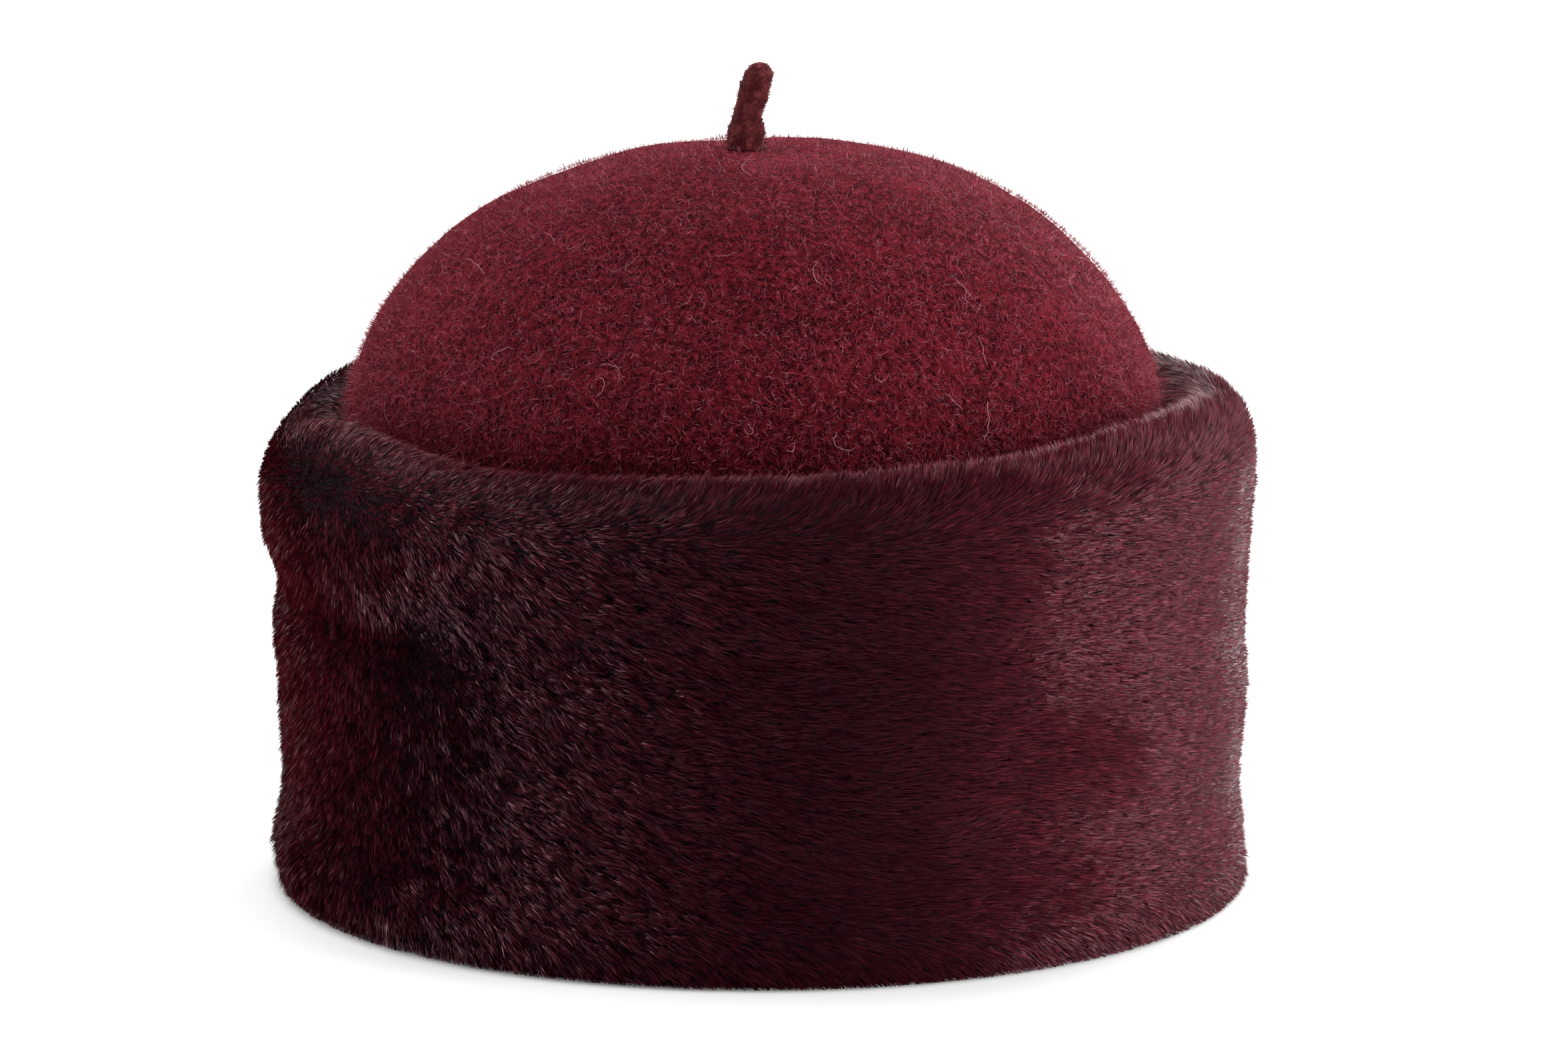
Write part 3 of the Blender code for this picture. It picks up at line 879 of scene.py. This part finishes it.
class StageSettings(bpy.types.PropertyGroup):
    """The floor, the light and the camera."""
    ambient: bpy.props.FloatProperty(
        name="Room light", description="Strength of the light from all round", default=0.03, min=0)
    light: bpy.props.FloatProperty(
        name="Softboxes", description="Strength of the softboxes", default=1.0, min=0)
    floor_glow: bpy.props.FloatProperty(
        name="Floor glow", description="How much the floor shows white by itself", default=0.50, min=0)


class HAT_OT_stage(bpy.types.Operator):
    """Set the camera, the pale floor and the softboxes"""
    bl_idname = "hat.stage"
    bl_label = "Stage and camera"

    def execute(self, context):
        settings = context.scene.hat_stage
        scene = context.scene
        scene.view_settings.view_transform = "Standard"
        camera = bpy.data.cameras.new("camera")
        camera.sensor_width = SENSOR_WIDTH
        camera.lens = FOCAL_PIXELS * SENSOR_WIDTH / PHOTO_WIDTH
        viewer = bpy.data.objects.new("camera", camera)
        viewer.location = CAMERA_PLACE
        viewer.rotation_euler = (CAMERA_PITCH, 0, 0)
        scene.collection.objects.link(viewer)
        scene.camera = viewer

        world = bpy.data.worlds.new("white room")
        scene.world = world
        world.use_nodes = True
        tree = world.node_tree
        tree.nodes.clear()
        seen = add(tree, "LightPath").outputs["Is Camera Ray"]
        strength = add(tree, "MapRange", {"Value": seen, "To Min": settings.ambient, "To Max": 1.0})
        light = add(tree, "Background", {"Color": (1.0, 1.0, 1.0, 1.0), "Strength": strength})
        add(tree, "OutputWorld", {"Surface": light})

        for row in LIGHT_ROWS:
            lamp = bpy.data.lights.new(row.name, "AREA")
            lamp.shape = "SQUARE"
            lamp.size = row.side
            lamp.energy = row.power * settings.light
            holder = bpy.data.objects.new(row.name, lamp)
            holder.location = row.place
            holder.rotation_euler = (LIGHT_AIM - Vector(row.place)).to_track_quat("-Z", "Y").to_euler()
            scene.collection.objects.link(holder)

        material, tree = new_material("white table")
        seen = add(tree, "LightPath").outputs["Is Camera Ray"]
        here = add(tree, "TexCoord").outputs["Object"]
        away = add(tree, "VectorMath", {0: here}, operation="LENGTH")
        near = (settings.floor_glow,) * 3
        # Painted contact shadow: the glow is nil at the hem and rises over the first ring
        white = ramp(tree, away, tuple(zip(FLOOR_RINGS, ((0.0, 0.0, 0.0), near, near, (1.0, 1.0, 1.0)))))
        shader = add(tree, "BsdfPrincipled",
                     {"Base Color": (0.85, 0.85, 0.85, 1.0), "Roughness": 0.7, "Specular IOR Level": 0.0,
                      "Emission Color": white, "Emission Strength": seen})
        add(tree, "OutputMaterial", {"Surface": shader})
        turn = np.linspace(0, 2 * math.pi, 96, endpoint=False)
        points = np.concatenate([around(turn, FLOOR_RADIUS, -FLOOR_DROP), [[0, 0, -FLOOR_DROP]]])
        first = np.arange(96)
        fan = np.stack([np.full(96, 96), first, (first + 1) % 96], -1)
        mesh = mesh_from("floor", points, [fan])
        mesh.materials.append(material)
        floor = bpy.data.objects.new("floor", mesh)
        scene.collection.objects.link(floor)
        return {"FINISHED"}


class HAT_OT_crown(bpy.types.Operator):
    """Felt the domed crown with the skirt that the head touches"""
    bl_idname = "hat.crown"
    bl_label = "Crown"

    def execute(self, context):
        mesh = mesh_from("crown_felt", *crown_shell())
        add_piece(mesh, felted_wool(context.scene.hat_wool), replaces=("crown",))
        return {"FINISHED"}


class HAT_OT_crown_fibres(bpy.types.Operator):
    """Lay the curled fibres, the short fuzz and the stray hairs on the crown"""
    bl_idname = "hat.crown_fibres"
    bl_label = "Crown fibres"

    def execute(self, context):
        wool = context.scene.hat_wool
        # The palest stops colour the pale stray hairs and the tips' painted glow
        stops = ((0.0, wool.colour), (0.6, wool.light_colour), (0.85, linear("#c0506a")),
                 (1.0, linear("#e4a8b0")))
        material = wool_fibre("wool fibre", stops)
        for kind in FIBRE_KINDS:
            chance = np.random.default_rng(kind.seed)
            count = getattr(wool, kind.setting)
            azimuth, angle = dome_places(chance, count)
            path, outward = curled_paths(
                chance, azimuth, angle, kind.steps, chance.uniform(*kind.length, count),
                chance.uniform(*kind.turn, count), mix(*kind.lift, chance.uniform(0, 1, count) ** 1.7))
            taper = np.linspace(1.0, 0.5, kind.steps)
            width = wool.fibre_width * kind.thick * chance.uniform(0.7, 1.3, count)
            add_fibres(kind.name, chance, path, outward, width, taper, kind.shades, material)
        return {"FINISHED"}


class HAT_OT_stalk(bpy.types.Operator):
    """Roll the felted stalk and its fuzz"""
    bl_idname = "hat.stalk"
    bl_label = "Stalk"

    def execute(self, context):
        settings = context.scene.hat_stalk
        rows, columns = 64, 40
        rise = mix(STALK_ROWS[0].rise, STALK_ROWS[-1].rise,
                   np.sin(np.linspace(0, math.pi / 2, rows)))[::-1, None]
        sideways = read_table(STALK_ROWS, "rise", rise, "sideways")
        width = read_table(STALK_ROWS, "rise", rise, "width")
        turn = np.linspace(0, 2 * math.pi, columns, endpoint=False)[None, :]
        body = around(turn, width / 2, CROWN_TOP + SEAT_GAP + rise)
        body[..., 0] += sideways
        outward = around(turn, 1.0, 0 * rise)
        # Lumps of 5 mm and 1.5 mm, which fade out at the tip
        lumps = 0.00010 * ripple(body, 0.005, 31) + 0.00006 * ripple(body, 0.0015, 32)
        body = body + outward * lumps[..., None] * ease(width / 0.004)[..., None]
        top = body[0].mean(0) + (0, 0, 0.00005)
        foot = body[-1].mean(0)
        points = np.concatenate([body.reshape(-1, 3), [top, foot]])
        mesh = mesh_from("stalk_felt", points, [ring_faces(rows, columns), pole_faces(rows, columns)])
        add_piece(mesh, tight_felt(settings), replaces=("stalk",))

        chance = np.random.default_rng(33)
        count = settings.fuzz
        rise = chance.uniform(0, STALK_ROWS[-2].rise, count)
        turn = chance.uniform(0, 2 * math.pi, count)
        outward = around(turn, 1.0, chance.normal(0.2, 0.5, count))
        place = around(turn, read_table(STALK_ROWS, "rise", rise, "width") / 2,
                       CROWN_TOP + SEAT_GAP + rise)
        place[:, 0] += read_table(STALK_ROWS, "rise", rise, "sideways")
        length = chance.uniform(0.0003, 0.0010, count)[:, None]
        sway = unit(chance.normal(size=(count, 3)))
        path = np.stack([place, place + outward * length * 0.6,
                         place + outward * length * 0.8 + sway * length * 0.7], 1)
        stops = ((0.0, settings.dark_colour), (0.6, settings.colour), (1.0, settings.light_colour))
        add_fibres("stalk_fuzz", chance, path, sway[:, None], np.full(count, settings.fuzz_width),
                   np.array((1.0, 0.8, 0.5)), (0.1, 0.8), wool_fibre("stalk fuzz", stops))
        return {"FINISHED"}


class HAT_OT_cuff_backing(bpy.types.Operator):
    """Pad the ring that the fur is sewn round"""
    bl_idname = "hat.cuff_backing"
    bl_label = "Cuff backing"

    def execute(self, context):
        mesh = mesh_from("cuff_backing", *cuff_shell())
        piece = add_piece(mesh, pile_backing(context.scene.hat_fur), replaces=("fur_cuff",))
        return {"FINISHED"}


class HAT_OT_cuff_pile(bpy.types.Operator):
    """Grow the fur's pile, sector by sector"""
    bl_idname = "hat.cuff_pile"
    bl_label = "Cuff pile"

    def execute(self, context):
        settings = context.scene.hat_fur
        materials = {finish.name: pile_fibre(settings, finish) for finish in PILE_FINISHES}
        for seed, sector in enumerate(SECTOR_ROWS, start=41):
            chance = np.random.default_rng(seed)
            hairs = pile_strands(chance, sector.guard_hairs, sector, settings, True)
            under = pile_strands(chance, sector.underfur, sector, settings, False)
            points = np.concatenate([hairs[0], under[0]])
            faces = np.concatenate([hairs[1], under[1] + len(hairs[0])])
            shades, tips = (np.concatenate([hairs[i], under[i]]) for i in (2, 3))
            mesh = mesh_from("cuff_pile_" + sector.name, points, [faces])
            add_strand_map(mesh, shades, tips)
            add_piece(mesh, materials[sector.finish])
        return {"FINISHED"}


class HAT_PT_panel(bpy.types.Panel):
    """Lists the hat's pieces and settings"""
    bl_label = "Fur-cuffed wool hat"
    bl_idname = "HAT_PT_panel"
    bl_space_type = "VIEW_3D"
    bl_region_type = "UI"
    bl_category = "Hat"

    def draw(self, context):
        for group, operators in PANEL_ROWS:
            box = self.layout.box()
            settings = getattr(context.scene, group)
            for name in settings.__annotations__:
                box.prop(settings, name)
            for operator in operators:
                box.operator(operator.bl_idname)


PANEL_ROWS = (
    ("hat_stage", (HAT_OT_stage,)),
    ("hat_wool", (HAT_OT_crown, HAT_OT_crown_fibres)),
    ("hat_stalk", (HAT_OT_stalk,)),
    ("hat_fur", (HAT_OT_cuff_backing, HAT_OT_cuff_pile)),
)
GROUPS = {"hat_stage": StageSettings, "hat_wool": WoolSettings, "hat_stalk": StalkSettings,
          "hat_fur": FurSettings}
CLASSES = (*GROUPS.values(), HAT_OT_stage, HAT_OT_crown, HAT_OT_crown_fibres, HAT_OT_stalk,
           HAT_OT_cuff_backing, HAT_OT_cuff_pile, HAT_PT_panel)


def register():
    for cls in CLASSES:
        bpy.utils.register_class(cls)
    for name, group in GROUPS.items():
        setattr(bpy.types.Scene, name, bpy.props.PointerProperty(type=group))


def unregister():
    for name in GROUPS:
        delattr(bpy.types.Scene, name)
    for cls in reversed(CLASSES):
        bpy.utils.unregister_class(cls)


def main():
    register()
    for _, operators in PANEL_ROWS:
        for operator in operators:
            group, name = operator.bl_idname.split(".")
            getattr(getattr(bpy.ops, group), name)()


if __name__ == "__main__":
    main()
